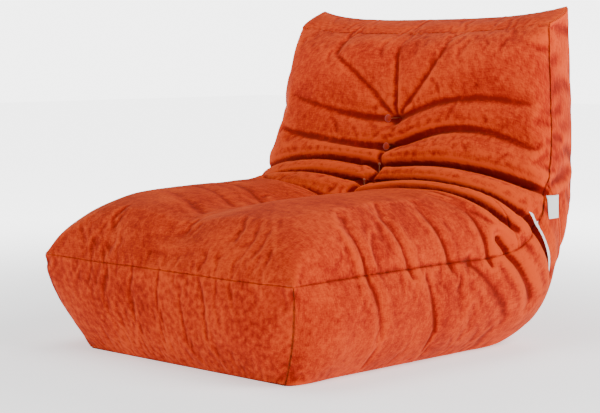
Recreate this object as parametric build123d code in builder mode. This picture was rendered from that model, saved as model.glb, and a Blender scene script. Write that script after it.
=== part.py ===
"""Bean bag lounge chair: a boxed bag bent into a seat and a backrest, with a zipped cover over a
liner, a bead filling, tufting buttons and ties. Millimetres, +Z up, front towards -Y, origin on the
floor under the middle of the bag."""

from build123d import *
from math import radians, sin
import os

# Overall sizes of the cover
depth = 990
height = 815
front_width = 820
crook_width = 930
rear_width = 850
top_width = 812
base_width = 690

# Front and seat in the side view: runs from the front of the bag, heights from the floor
front_undercut = 80
front_seam_height = 227
nose_run = 60
nose_height = 298
seat_front_run = 180
seat_front_height = 338
seat_rear_height = 378
crook_height = 397

# Backrest and rear in the side view: setbacks from the rear of the bag, drops from its top
crook_setback = 300
crook_lead = 90
lumbar_setback = 242
lumbar_height = 480
shoulder_setback = 190
shoulder_drop = 135
top_front_setback = 96
top_front_drop = 30
ear_setback = 8
bulge_height = 300
rear_tuck_setback = 45
rear_tuck_height = 140
base_rear_setback = 190

# Heights at which the bag is widest, seen from the front
wide_from_height = 215
wide_to_height = 400

# Setback at which the bag is widest, seen from above
wide_setback = 160

# Layers
cover_thickness = 2
wadding_thickness = 20
liner_thickness = 1
liner_gap = 3
layer_gap = 0.4

# Tufts on the centre line: setback from the rear, height, and the tilt of the pocket up from level
button_spots = [(205, 543, 0), (212, 471, 0)]
crook_spots = [(239, 421, 40), (298, 386, 68), (374, 342, 84)]
button_diameter = 20
button_height = 7
shank_diameter = 4
shank_length = 9
twine_diameter = 2
tie_diameter = 3
knot_diameter = 7
tie_clearance = 0.4
anchor_diameter = 28
anchor_thickness = 2
anchor_gap = 0.5
pocket_depth = 90
pocket_floor_radius = 13
pocket_slope = 0.75

# Zip across the lower rear
zip_length = 640
zip_height = 225
tape_width = 15
tape_thickness = 0.7
coil_width = 2.2
coil_height = 2.4
coil_spacing = 1.8
slider_length = 14
slider_width = 11
slider_wall = 1.4
slider_clearance = 0.35
post_thickness = 1.1
post_length = 4
bridge_height = 3.4
bridge_width = 3
bridge_wall = 1.3
bridge_span = 3.4
pull_length = 26
pull_width = 8.5
pull_thickness = 1.3
pull_end_hole = 4
stop_length = 3

# Labels and gather tapes
label_width = 40
label_height = 56
label_thickness = 1
label_foot = 322
label_gap = 0.3
care_width = 55
care_height = 38
care_thickness = 0.4
care_across = 200
care_gap = 0.5
gather_width = 12
gather_thickness = 1
gather_top_setback = 225
gather_top_height = 350
gather_foot_setback = 100
gather_foot_height = 110

# Places worked out from the sizes
front = -depth / 2
rear = depth / 2
beyond = 200
crook_run = depth - crook_setback
seat_rear_run = crook_run - crook_lead
top_front_run = depth - top_front_setback
top_front_height = height - top_front_drop
ear_run = depth - ear_setback
rear_tuck_run = depth - rear_tuck_setback
wide_run = depth - wide_setback
button_places = [(depth - setback, up, tilt) for setback, up, tilt in button_spots]
crook_places = [(depth - setback, up, tilt) for setback, up, tilt in crook_spots]
twine_clear_radius = shank_diameter / 2 + tie_clearance
anchor_top = cover_thickness + anchor_gap + anchor_thickness
crook_seam_run = (crook_places[0][0] + crook_places[1][0]) / 2
wadding_inset = cover_thickness + layer_gap
liner_inset = cover_thickness + liner_gap
fill_inset = liner_inset + liner_thickness + layer_gap

# Corners of the side view: run, height, rounding radius
side_corners = [
    (front_undercut, 0, 30),
    (0, front_seam_height, 10),
    (nose_run, nose_height, 45),
    (seat_front_run, seat_front_height, 160),
    (seat_rear_run, seat_rear_height, 300),
    (crook_run, crook_height, 50),
    (depth - lumbar_setback, lumbar_height, 75),
    (depth - shoulder_setback, height - shoulder_drop, 220),
    (top_front_run, top_front_height, 20),
    (ear_run, height, 10),
    (depth, bulge_height, 120),
    (rear_tuck_run, rear_tuck_height, 110),
    (depth - base_rear_setback, 0, 70),
]


def side_prism(inset):
    """The side view, inset all round, drawn out past both sides of the bag."""
    with BuildPart() as prism:
        with BuildSketch(Plane.YZ):
            with BuildLine():
                places = [(front + run, up) for run, up, radius in side_corners]
                radii = [radius for run, up, radius in side_corners]
                FilletPolyline(*places, radius=radii, close=True)
            make_face()
            if inset > 0:
                offset(amount=-inset, kind=Kind.INTERSECTION)
        extrude(amount=crook_width, both=True)
    return prism.part


def width_limits(inset):
    """How wide the bag is at each depth and at each height, with open ends."""
    with BuildPart() as limits:
        with BuildSketch(Plane.XY.offset(-beyond)):
            with BuildLine():
                plan = [
                    (-front_width / 2, front - beyond),
                    (front_width / 2, front - beyond),
                    (front_width / 2, front),
                    (crook_width / 2, front + wide_run),
                    (rear_width / 2, rear),
                    (rear_width / 2, rear + beyond),
                    (-rear_width / 2, rear + beyond),
                    (-rear_width / 2, rear),
                    (-crook_width / 2, front + wide_run),
                    (-front_width / 2, front),
                ]
                FilletPolyline(*plan, radius=[20, 20, 60, 90, 60, 20, 20, 60, 90, 60], close=True)
            make_face()
            if inset > 0:
                offset(amount=-inset, kind=Kind.INTERSECTION)
        extrude(amount=height + 2 * beyond)
        with BuildSketch(Plane.XZ):
            with BuildLine():
                half = [
                    (base_width / 2, -beyond),
                    (base_width / 2, 0),
                    (crook_width / 2, wide_from_height),
                    (crook_width / 2, wide_to_height),
                    (top_width / 2, height),
                    (top_width / 2, height + beyond),
                ]
                other = [(-across, up) for across, up in reversed(half)]
                rounding = [20, 60, 90, 160, 60, 20]
                FilletPolyline(*half, *other, radius=rounding + rounding[::-1], close=True)
            make_face()
            if inset > 0:
                offset(amount=-inset, kind=Kind.INTERSECTION)
        extrude(amount=depth, both=True, mode=Mode.INTERSECT)
    return limits.part


def pocket_plane(place, deeper=0):
    """Plane across a tuft's floor, facing out of the bag, sunk by the depth of the layers above."""
    run, up, tilt = place
    facing = Vector(0, -1, 0).rotate(Axis.X, -tilt)
    origin = Vector(0, front + run, up) - facing * deeper
    return Plane(origin=origin, x_dir=(1, 0, 0), z_dir=facing)


def tuft_pockets(inset):
    """The dished pockets that the tufts pull into the sitting side, deeper by the inset."""
    floor = pocket_floor_radius + inset / 2
    mouth = floor + (pocket_depth + inset) * pocket_slope
    with BuildPart() as pockets:
        for place in button_places + crook_places:
            with BuildSketch(pocket_plane(place, inset)):
                Circle(floor)
            with BuildSketch(pocket_plane(place, -pocket_depth)):
                Circle(mouth)
            loft()
    return pockets.part


def wrap(inset):
    """The side view with its tuft pockets, still without side walls."""
    with BuildPart() as wrapped:
        add(side_prism(inset))
        add(tuft_pockets(inset), mode=Mode.SUBTRACT)
    return wrapped.part


def padded_wrap(inset):
    """The side view under the wadding, which lines the front, the sitting side and the top."""
    lowered = Location((0, wadding_thickness, -wadding_thickness))
    with BuildPart() as under:
        add(side_prism(inset))
        add(side_prism(inset).moved(lowered), mode=Mode.INTERSECT)
        add(tuft_pockets(inset + wadding_thickness), mode=Mode.SUBTRACT)
    return under.part


def between(*corners):
    """A stretch of the bag, from the corners of its outline in the side view, right across."""
    with BuildPart() as stretch:
        with BuildSketch(Plane.YZ):
            Polygon(*[(front + run, up) for run, up in corners], align=None)
        extrude(amount=crook_width, both=True)
    return stretch.part


def tie_channels(radius):
    """Straight ways through the bag for the button twines and the crook ties."""
    with BuildPart() as channels:
        for run, up, tilt in button_places:
            with BuildSketch(Plane.XZ.offset(-(front + run))):
                with Locations((0, up)):
                    Circle(radius)
            extrude(amount=-depth)
        for run, up, tilt in crook_places:
            with BuildSketch(Plane.XY.offset(up + knot_diameter)):
                with Locations((0, front + run)):
                    Circle(radius)
            extrude(amount=-height)
    return channels.part


def rear_anchor_run(up):
    """Run of the near face of a button's anchor, which lies inside the rear wall at this height."""
    share = (up + anchor_diameter / 2 - bulge_height) / (height - bulge_height)
    wall_run = depth + share * (ear_run - depth)
    return wall_run - cover_thickness - anchor_gap - anchor_thickness


# The zip lies on the slanting rear wall, halfway along its height
tuck_share = (zip_height - rear_tuck_height) / (bulge_height - rear_tuck_height)
zip_y = front + rear_tuck_run + tuck_share * (depth - rear_tuck_run)
wall_rise = Vector(0, depth - rear_tuck_run, bulge_height - rear_tuck_height).normalized()
wall_out = Vector(0, wall_rise.Z, -wall_rise.Y)
zip_plane = Plane(origin=(0, zip_y, zip_height), x_dir=(-1, 0, 0), z_dir=wall_out)

cover_wrap = wrap(0)
cover_inside = wrap(cover_thickness)
cover_limits = width_limits(0)
panel_limits = width_limits(cover_thickness)

with BuildPart() as strips:
    add(cover_wrap)
    add(panel_limits, mode=Mode.INTERSECT)
    add(cover_inside, mode=Mode.SUBTRACT)
    add(tie_channels(twine_clear_radius), mode=Mode.SUBTRACT)

with BuildPart() as gussets:
    add(cover_wrap)
    add(cover_limits, mode=Mode.INTERSECT)
    add(panel_limits, mode=Mode.SUBTRACT)

# Stretches of the side view that the seams divide the bag into
top_of_all = height + beyond
seat_stretch = between(
    (-beyond, front_seam_height),
    (-beyond, top_of_all),
    (crook_seam_run, top_of_all),
    (crook_seam_run, front_seam_height),
)
back_stretch = between(
    (crook_seam_run, front_seam_height),
    (crook_seam_run, top_of_all),
    (top_front_run, top_of_all),
    (top_front_run, front_seam_height),
)
front_stretch = between(
    (-beyond, cover_thickness),
    (-beyond, front_seam_height),
    (seat_front_run, front_seam_height),
    (seat_front_run, cover_thickness),
)
base_stretch = between(
    (-beyond, -beyond),
    (-beyond, cover_thickness),
    (depth, cover_thickness),
    (depth, -beyond),
)
top_stretch = between(
    (top_front_run, top_front_height - 2 * wadding_thickness),
    (top_front_run, top_of_all),
    (ear_run + beyond, height + beyond),
    (ear_run, height),
    (ear_run - 2 * wadding_thickness, height - 2 * wadding_thickness),
)
# Everything above the middle line of the zip
with BuildPart() as above_zip:
    with BuildSketch(zip_plane):
        Rectangle(2 * crook_width, height, align=(Align.CENTER, Align.MIN))
    extrude(amount=zip_height, both=True)

# The slot in the rear of the cover that the zip closes, as wide as the slider needs
coil_near = coil_spacing / 2
coil_far = coil_near + coil_width
flange_inner = coil_far + slider_clearance
zip_opening = 2 * (flange_inner + slider_wall + slider_clearance)
slot_length = zip_length + 2 * stop_length + 2
with BuildPart() as zip_slot:
    with BuildSketch(zip_plane.offset(-liner_inset)):
        Rectangle(slot_length, zip_opening)
    extrude(amount=2 * liner_inset)

finished = []


def finish(builder, label):
    """Name a finished piece and keep it for writing."""
    builder.part.label = label
    finished.append(builder.part)


# Cover: the strips that run round the bag
with BuildPart() as seat_panel:
    add(strips.part)
    add(seat_stretch, mode=Mode.INTERSECT)
finish(seat_panel, "seat_panel")

with BuildPart() as backrest_panel:
    add(strips.part)
    add(back_stretch, mode=Mode.INTERSECT)
finish(backrest_panel, "backrest_panel")

with BuildPart() as front_panel:
    add(strips.part)
    add(front_stretch, mode=Mode.INTERSECT)
finish(front_panel, "front_panel")

with BuildPart() as base_panel:
    add(strips.part)
    add(base_stretch, mode=Mode.INTERSECT)
finish(base_panel, "base_panel")

with BuildPart() as top_panel:
    add(strips.part)
    add(top_stretch, mode=Mode.INTERSECT)
finish(top_panel, "top_panel")

with BuildPart() as rear_strip:
    add(strips.part)
    for stretch in (seat_stretch, back_stretch, front_stretch, base_stretch, top_stretch):
        add(stretch, mode=Mode.SUBTRACT)

with BuildPart() as rear_panel_upper:
    add(rear_strip.part)
    add(above_zip.part, mode=Mode.INTERSECT)
    add(zip_slot.part, mode=Mode.SUBTRACT)
finish(rear_panel_upper, "rear_panel_upper")

with BuildPart() as rear_panel_lower:
    add(rear_strip.part)
    add(above_zip.part, mode=Mode.SUBTRACT)
    add(zip_slot.part, mode=Mode.SUBTRACT)
finish(rear_panel_lower, "rear_panel_lower")

# Cover: the side gussets, parted at the crook
with BuildPart() as back_sides:
    add(between(
        (crook_seam_run, crook_height),
        (crook_seam_run, top_of_all),
        (depth + beyond, top_of_all),
        (depth + beyond, crook_height),
    ))

for side, across in (("left", -1), ("right", 1)):
    with BuildPart() as one_side:
        with BuildSketch(Plane.YZ):
            Rectangle(2 * depth, 3 * height)
        extrude(amount=across * crook_width)
    with BuildPart() as back_gusset:
        add(gussets.part)
        add(one_side.part, mode=Mode.INTERSECT)
        add(back_sides.part, mode=Mode.INTERSECT)
    finish(back_gusset, "back_gusset_" + side)
    with BuildPart() as seat_gusset:
        add(gussets.part)
        add(one_side.part, mode=Mode.INTERSECT)
        add(back_sides.part, mode=Mode.SUBTRACT)
    finish(seat_gusset, "seat_gusset_" + side)
    with BuildPart() as gather_tape:
        top_run = depth - gather_top_setback
        foot_run = depth - gather_foot_setback
        add(between(
            (top_run, gather_top_height),
            (top_run + gather_width, gather_top_height),
            (foot_run + gather_width, gather_foot_height),
            (foot_run, gather_foot_height),
        ))
        add(one_side.part, mode=Mode.INTERSECT)
        add(side_prism(wadding_inset), mode=Mode.INTERSECT)
        add(width_limits(wadding_inset), mode=Mode.INTERSECT)
        add(width_limits(wadding_inset + gather_thickness), mode=Mode.SUBTRACT)
    finish(gather_tape, "gather_tape_" + side)

# Wadding under the panels that are sat on or seen
with BuildPart() as wadding:
    add(wrap(wadding_inset))
    add(width_limits(wadding_inset), mode=Mode.INTERSECT)
    add(padded_wrap(wadding_inset), mode=Mode.SUBTRACT)
    add(tie_channels(twine_clear_radius), mode=Mode.SUBTRACT)

for name, stretch in (
    ("front_wadding", front_stretch),
    ("seat_wadding", seat_stretch),
    ("backrest_wadding", back_stretch),
    ("top_wadding", top_stretch),
):
    with BuildPart() as wadding_piece:
        add(wadding.part)
        add(stretch, mode=Mode.INTERSECT)
    finish(wadding_piece, name)

# Inner bag and its bead filling
with BuildPart() as inner_liner:
    add(padded_wrap(liner_inset))
    add(width_limits(liner_inset), mode=Mode.INTERSECT)
    add(padded_wrap(liner_inset + liner_thickness), mode=Mode.SUBTRACT)
    add(tie_channels(twine_clear_radius), mode=Mode.SUBTRACT)
finish(inner_liner, "inner_liner")

with BuildPart() as bead_fill:
    add(padded_wrap(fill_inset))
    add(width_limits(fill_inset), mode=Mode.INTERSECT)
    add(tie_channels(twine_clear_radius), mode=Mode.SUBTRACT)
finish(bead_fill, "bead_fill")

# Buttons: a covered cap on the cover, a shank through it, and a twine to an anchor at the rear
with BuildPart() as button_caps:
    for run, up, tilt in button_places:
        with BuildSketch(Plane.XZ.offset(-(front + run))):
            with Locations((0, up)):
                Circle(button_diameter / 2)
        extrude(amount=button_height)
    fillet(button_caps.faces().filter_by(Axis.Y).group_by(Axis.Y)[0].edges(), button_height * 0.6)
finish(button_caps, "button_caps")

with BuildPart() as button_shanks:
    for run, up, tilt in button_places:
        with BuildSketch(Plane.XZ.offset(-(front + run))):
            with Locations((0, up)):
                Circle(shank_diameter / 2)
        extrude(amount=-shank_length)
finish(button_shanks, "button_shanks")

with BuildPart() as button_twines:
    for run, up, tilt in button_places:
        with BuildSketch(Plane.XZ.offset(-(front + run + shank_length))):
            with Locations((0, up)):
                Circle(twine_diameter / 2)
        extrude(amount=-(rear_anchor_run(up) - run - shank_length))
finish(button_twines, "button_twines")

# Crook ties: a knot in each pocket and a cord straight down to an anchor on the base
with BuildPart() as crook_ties:
    for run, up, tilt in crook_places:
        knot_rise = (knot_diameter / 2 + layer_gap) / sin(radians(tilt))
        with BuildSketch(Plane.XY.offset(anchor_top)):
            with Locations((0, front + run)):
                Circle(tie_diameter / 2)
        extrude(amount=up + knot_rise - anchor_top)
        with Locations((0, front + run, up + knot_rise)):
            Sphere(knot_diameter / 2)
finish(crook_ties, "crook_ties")

with BuildPart() as tie_anchors:
    for run, up, tilt in button_places:
        with BuildSketch(Plane.XZ.offset(-(front + rear_anchor_run(up)))):
            with Locations((0, up)):
                Circle(anchor_diameter / 2)
        extrude(amount=-anchor_thickness)
    for run, up, tilt in crook_places:
        with BuildSketch(Plane.XY.offset(anchor_top)):
            with Locations((0, front + run)):
                Circle(anchor_diameter / 2)
        extrude(amount=-anchor_thickness)
finish(tie_anchors, "tie_anchors")

# Zip, laid out on its own plane: x along the zip, y up the wall, z out of the bag
tape_face = -cover_thickness - layer_gap / 4
for side, upward in (("upper", 1), ("lower", -1)):
    with BuildPart() as zip_tape:
        with BuildSketch(zip_plane.offset(tape_face - tape_thickness)):
            with Locations((0, upward * (coil_near + tape_width / 2))):
                Rectangle(zip_length + 2 * stop_length, tape_width)
        extrude(amount=tape_thickness)
    finish(zip_tape, "zip_tape_" + side)
    with BuildPart() as zip_coil:
        with BuildSketch(zip_plane.offset(tape_face)):
            with Locations((0, upward * (coil_near + coil_width / 2))):
                Rectangle(zip_length, coil_width)
        extrude(amount=coil_height)
    finish(zip_coil, "zip_coil_" + side)

with BuildPart() as zip_stops:
    with BuildSketch(zip_plane.offset(tape_face)):
        with Locations((-(zip_length + stop_length) / 2, 0), ((zip_length + stop_length) / 2, 0)):
            Rectangle(stop_length, 2 * coil_far)
    extrude(amount=coil_height)
    fillet(zip_stops.edges().filter_by(Axis.X).group_by(Axis.Y)[-1], coil_width / 4)
finish(zip_stops, "zip_stops")

# Slider at rest at the closed end, with a post between the coils and a bridge for the pull
slider_x = -(zip_length - slider_length) / 2 + slider_clearance
plate_face = tape_face + coil_height + slider_clearance
plate_top = plate_face + slider_wall
under_face = tape_face - tape_thickness - slider_clearance
under_wall = liner_gap - layer_gap / 4 - tape_thickness - slider_clearance - layer_gap
axis_height = plate_top + slider_clearance + pull_thickness / 2
with BuildPart() as zip_slider:
    with BuildSketch(zip_plane.offset(plate_face)):
        with Locations((slider_x, 0)):
            RectangleRounded(slider_length, slider_width, 2)
    extrude(amount=slider_wall)
    with BuildSketch(zip_plane.offset(tape_face + slider_clearance)):
        with Locations((slider_x, flange_inner + slider_wall / 2), (slider_x, -flange_inner - slider_wall / 2)):
            Rectangle(slider_length - 4, slider_wall)
    extrude(amount=plate_face - tape_face - slider_clearance)
    with BuildSketch(zip_plane.offset(under_face - under_wall)):
        with Locations((slider_x, 0)):
            RectangleRounded(slider_length, slider_width, 2)
    extrude(amount=under_wall)
    with BuildSketch(zip_plane.offset(under_face)):
        with Locations((slider_x - (slider_length - post_length) / 2 + 1, 0)):
            Rectangle(post_length, post_thickness)
    extrude(amount=plate_face - under_face)
    with BuildSketch(zip_plane.offset(plate_top)):
        leg = (bridge_span + bridge_wall) / 2
        with Locations((slider_x - leg, 0), (slider_x + leg, 0)):
            Rectangle(bridge_wall, bridge_width)
    extrude(amount=bridge_height)
    with BuildSketch(zip_plane.offset(plate_top + bridge_height - bridge_wall)):
        with Locations((slider_x, 0)):
            Rectangle(bridge_span + 2 * bridge_wall, bridge_width)
    extrude(amount=bridge_wall)
finish(zip_slider, "zip_slider")

# Pull, lying flat along the zip, with a round bar that turns under the bridge
pull_window = bridge_span / 2 + bridge_wall + slider_clearance + bridge_height / 4
with BuildPart() as zip_pull:
    with BuildSketch(zip_plane.offset(axis_height - pull_thickness / 2)):
        with Locations((slider_x, 0)):
            Rectangle(pull_length, pull_width, align=(Align.MIN, Align.CENTER))
        with Locations((slider_x, 0)):
            Rectangle(
                pull_window,
                bridge_width + 2 * slider_clearance,
                align=(Align.MIN, Align.CENTER),
                mode=Mode.SUBTRACT,
            )
        with Locations((slider_x + pull_length - pull_end_hole, 0)):
            Circle(pull_end_hole / 2, mode=Mode.SUBTRACT)
    extrude(amount=pull_thickness)
    with BuildSketch(Plane(zip_plane.from_local_coords((slider_x, 0, axis_height)), z_dir=wall_rise)):
        Circle(pull_thickness / 2)
    extrude(amount=pull_width / 2, both=True)
finish(zip_pull, "zip_pull")

# Blank tab that stands out from the side seam, and the care label beside the zip inside
with BuildPart() as side_label:
    with BuildSketch(Plane.YZ.offset(crook_width / 2 + label_gap)):
        with Locations((front + wide_run, label_foot)):
            Rectangle(label_width, label_height, align=(Align.MIN, Align.MIN))
    extrude(amount=label_thickness)
finish(side_label, "side_label")

with BuildPart() as care_label:
    with BuildSketch(zip_plane.offset(-cover_thickness - care_gap - care_thickness)):
        with Locations((care_across, coil_near + tape_width + care_gap)):
            Rectangle(care_width, care_height, align=(Align.CENTER, Align.MIN))
    extrude(amount=care_thickness)
finish(care_label, "care_label")

os.makedirs("parts", exist_ok=True)
for part in finished:
    print(part.label, len(part.solids()), round(part.volume), part.bounding_box())
    export_step(part, "parts/" + part.label + ".step")
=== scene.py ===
import bpy
import bmesh
import math
import numpy as np
from mathutils import Matrix, Vector
from mathutils.bvhtree import BVHTree


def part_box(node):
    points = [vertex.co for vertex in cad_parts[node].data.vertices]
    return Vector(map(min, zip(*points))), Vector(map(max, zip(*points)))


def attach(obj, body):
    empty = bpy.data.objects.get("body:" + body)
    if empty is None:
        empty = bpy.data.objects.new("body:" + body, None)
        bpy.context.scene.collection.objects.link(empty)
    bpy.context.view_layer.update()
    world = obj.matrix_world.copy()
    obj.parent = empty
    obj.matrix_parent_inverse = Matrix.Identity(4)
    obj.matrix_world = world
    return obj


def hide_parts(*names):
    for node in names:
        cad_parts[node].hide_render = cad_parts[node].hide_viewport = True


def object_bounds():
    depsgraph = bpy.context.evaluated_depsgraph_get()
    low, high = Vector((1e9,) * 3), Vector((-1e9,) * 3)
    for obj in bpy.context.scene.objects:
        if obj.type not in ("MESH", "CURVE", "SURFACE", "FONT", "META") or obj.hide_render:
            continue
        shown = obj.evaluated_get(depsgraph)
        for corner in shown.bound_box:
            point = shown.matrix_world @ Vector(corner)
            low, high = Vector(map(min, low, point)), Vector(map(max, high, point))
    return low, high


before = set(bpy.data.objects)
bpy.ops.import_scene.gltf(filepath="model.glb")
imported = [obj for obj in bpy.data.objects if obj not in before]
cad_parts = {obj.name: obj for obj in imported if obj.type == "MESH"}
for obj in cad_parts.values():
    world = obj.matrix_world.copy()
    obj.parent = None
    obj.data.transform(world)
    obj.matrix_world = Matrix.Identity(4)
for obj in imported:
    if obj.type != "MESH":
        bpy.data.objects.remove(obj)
cad_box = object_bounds()

# The camera stands in front of the chair's right-hand corner at a sitter's eye height, with a long
# lens, and looks slightly down. The floor stretches away behind the chair.
camera_data = bpy.data.cameras.new("camera")
camera_data.lens = 97.3
camera = bpy.data.objects.new("camera", camera_data)
bpy.context.scene.collection.objects.link(camera)
camera.location = (2.705, -2.901, 0.723)
camera.rotation_euler = (math.radians(84.42), 0, math.radians(43.4))
bpy.context.scene.camera = camera

# The cover is cut as a boxed mattress: a sitting side, a rear and base side, two side gussets, a
# front boxing strip and a top boxing strip, sewn along every edge and bent up into a seat and a back.
# It is made in one skin, swelled by its filling, and then parted along its seams.
front_y = cad_box[0][1]
across_count, along_count, thick_count = 156, 196, 36

# Stations from the front seam to the top seam. Each gives, in metres from the front of the bag and
# from the floor, the side seam, the bottom seam opposite it, half the width at both, and how far the
# lobes, the middle valley, the side wall and the rear stand proud of the seams.
stations = np.array([
    # seam run, up; bottom run, up; half widths; lobe, valley, side, rear; squareness of the lobes
    (0.000, 0.227, 0.062, 0.000, 0.410, 0.325, 0.000, 0.000, 0.012, 0.000, 7.0),
    (0.030, 0.229, 0.078, 0.000, 0.411, 0.340, 0.066, 0.008, 0.032, 0.000, 7.0),
    (0.085, 0.231, 0.116, 0.000, 0.416, 0.347, 0.100, 0.016, 0.048, 0.000, 7.0),
    (0.180, 0.234, 0.190, 0.000, 0.422, 0.345, 0.124, 0.024, 0.052, 0.000, 7.0),
    (0.350, 0.236, 0.340, 0.000, 0.430, 0.350, 0.134, 0.034, 0.052, 0.000, 7.0),
    (0.520, 0.237, 0.500, 0.000, 0.440, 0.355, 0.136, 0.036, 0.052, 0.000, 6.5),
    (0.640, 0.238, 0.640, 0.000, 0.450, 0.360, 0.146, 0.030, 0.050, 0.000, 5.5),
    (0.720, 0.250, 0.765, 0.006, 0.458, 0.370, 0.164, 0.014, 0.048, 0.004, 4.5),
    (0.777, 0.285, 0.850, 0.045, 0.464, 0.390, 0.156, 0.008, 0.042, 0.012, 3.6),
    (0.825, 0.385, 0.915, 0.140, 0.463, 0.410, 0.120, 0.006, 0.030, 0.016, 3.4),
    (0.855, 0.480, 0.955, 0.270, 0.455, 0.430, 0.116, 0.012, 0.018, 0.018, 3.6),
    (0.870, 0.600, 0.972, 0.430, 0.438, 0.436, 0.100, 0.014, 0.012, 0.014, 4.0),
    (0.883, 0.700, 0.980, 0.620, 0.420, 0.424, 0.062, 0.012, 0.008, 0.010, 4.0),
    (0.890, 0.745, 0.981, 0.730, 0.412, 0.415, 0.032, 0.006, 0.006, 0.006, 5.0),
    (0.894, 0.774, 0.980, 0.816, 0.404, 0.408, 0.000, 0.000, 0.012, 0.000, 6.0),
])


def spread_evenly(stations, count):
    """Stations spaced evenly along the top of the lobes, on a smooth curve through the given ones."""
    lean = stations[:, 0:2] - stations[:, 2:4]
    lean /= np.linalg.norm(lean, axis=1)[:, None]
    crest = stations[:, 0:2] + lean * stations[:, 6:7]
    reach = np.concatenate([[0], np.cumsum(np.linalg.norm(np.diff(crest, axis=0), axis=1))])
    slope = np.gradient(stations, reach, axis=0)
    places = np.linspace(0, reach[-1], count + 1)
    left = np.clip(np.searchsorted(reach, places, side="right") - 1, 0, len(reach) - 2)
    step = (reach[left + 1] - reach[left])[:, None]
    part = ((places - reach[left])[:, None]) / step
    return (
        stations[left] * (2 * part**3 - 3 * part**2 + 1)
        + slope[left] * step * (part**3 - 2 * part**2 + part)
        + stations[left + 1] * (3 * part**2 - 2 * part**3)
        + slope[left + 1] * step * (part**3 - part**2)
    )


rows = spread_evenly(stations, along_count)
lean = rows[:, 0:2] - rows[:, 2:4]
lean /= np.linalg.norm(lean, axis=1)[:, None]


def section(row):
    """One section across the sitting side: places across and heights over the seams, evenly spaced."""
    half, lobe, valley, squareness = row[4], row[6], row[7], row[10]
    share = np.sin(np.linspace(0, math.pi / 2, 200))
    rise = lobe * (1 - share**squareness) ** 0.42 - valley * np.exp(-((share / 0.22) ** 2))
    reach = np.concatenate([[0], np.cumsum(np.hypot(np.diff(share * half), np.diff(rise)))])
    even = np.linspace(0, reach[-1], across_count // 2 + 1)
    return np.interp(even, reach, share * half), np.interp(even, reach, rise)


sitting = np.array([section(row) for row in rows])


def cover_point(across, along, thick):
    """Where a point of the flat mattress goes in the bent bag. Each of the three runs from 0 to 1."""
    side = 1 if across >= 0.5 else -1
    i = round(abs(across - 0.5) * across_count)
    j = round(along * along_count)
    row, up = rows[j], lean[j]
    out = 2 * i / across_count
    if thick > 0.999:
        x, rise = sitting[j, 0, i], sitting[j, 1, i]
        run, height = row[0] + up[0] * rise, row[1] + up[1] * rise
    else:
        edge = row[5] + (row[4] - row[5]) * thick + row[8] * math.sin(math.pi * thick) ** 0.8
        x = edge * out
        run = row[2] + (row[0] - row[2]) * thick
        height = row[3] + (row[1] - row[3]) * thick
        proud = row[9] * (1 - out**4) if thick < 0.001 else 0
        run, height = run - up[0] * proud, height - up[1] * proud
    puff = math.sin(math.pi * thick) * (1 - out**6)
    if along < 0.001:
        run, height = run - 0.022 * puff, height - 0.006 * puff
    if along > 0.999:
        height += 0.006 * puff
    ends = max(0, (along - 0.8) / 0.2) ** 2
    height += ends * (0.010 * out**3 - (0.013 - 0.003 * side * out) * (1 - out**4))
    x += 0.008 * ends * out**6 * thick
    run += 0.008 * ends * out**6
    if side < 0:
        tip = max(0, 1 - along / 0.25) ** 2 * out**4 * math.sin(math.pi * min(1, thick * 0.75)) ** 2
        x, run = x + 0.016 * tip, run - 0.010 * tip
    return side * x, front_y + run, height


cut_size = Vector((0.92, 1.75, 0.28))
crook_row = int(np.argmin(np.abs(rows[:, 0] - 0.7215)))
gusset_row = int(np.argmin(np.abs(rows[:, 1] - 0.397)))
base_row = int(np.argmin(np.abs(rows[:, 2] - 0.800)))
zip_row = int(np.argmin(np.abs(rows[:, 3] - 0.225)))


def flat_mattress(step):
    """The bag as a flat mattress of unit size: six grids, coarser by the step, welded along the seams."""
    across, along, thick = across_count // step, along_count // step, thick_count // step
    grids = (
        (across, along, lambda a, b: (a, b, 1)),  # sitting side
        (across, along, lambda a, b: (a, b, 0)),  # rear and base side
        (thick, along, lambda a, b: (0, b, a)),  # left gusset
        (thick, along, lambda a, b: (1, b, a)),  # right gusset
        (across, thick, lambda a, b: (a, 0, b)),  # front
        (across, thick, lambda a, b: (a, 1, b)),  # top
    )
    mattress = bmesh.new()
    for number, (columns, lines, place) in enumerate(grids):
        made = bmesh.ops.create_grid(mattress, x_segments=columns, y_segments=lines, size=0.5)
        for vert in made["verts"]:
            vert.co = place(vert.co.x + 0.5, vert.co.y + 0.5)
        for face in {face for vert in made["verts"] for face in vert.link_faces}:
            row = face.calc_center_median().y * along_count
            part = number
            if number == 0 and row > crook_row:
                part = 6
            elif number == 1 and row > base_row:
                part = 7 if row < zip_row else 8
            elif number in (2, 3) and row > gusset_row:
                part = number + 7
            face.material_index = part
    bmesh.ops.remove_doubles(mattress, verts=mattress.verts, dist=0.0005)
    return mattress


box = flat_mattress(1)
cut_place = box.verts.layers.float_vector.new("cut")
for vert in box.verts:
    vert[cut_place] = vert.co * cut_size
box.verts.index_update()
counts = (across_count, along_count, thick_count)
skin_vert = {tuple(round(c * n) for c, n in zip(vert.co, counts)): vert.index
             for vert in box.verts}
for vert in box.verts:
    vert.co = cover_point(*vert.co)
bmesh.ops.recalc_face_normals(box, faces=box.faces)
skin_mesh = bpy.data.meshes.new("cover_skin")
box.to_mesh(skin_mesh)
box.free()
for polygon in skin_mesh.polygons:
    polygon.use_smooth = True
skin = bpy.data.objects.new("cover_skin", skin_mesh)
bpy.context.scene.collection.objects.link(skin)

# The folds: where the buttons and ties pull the sitting side in, creases run out from them, and
# where the mattress bends, spare cloth gathers into rolls that wrap round onto the gussets.
# Each fold is its places (across, run, up), its depth where it starts and where it ends, and its width.
# The buttons and ties stand where they do in the bag, and the folds are worked out from them.
button_spots = [(0, 0.785, 0.543), (0, 0.778, 0.471)]
tie_spots = [(0, 0.751, 0.418), (0, 0.692, 0.386), (0, 0.616, 0.342)]


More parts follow.
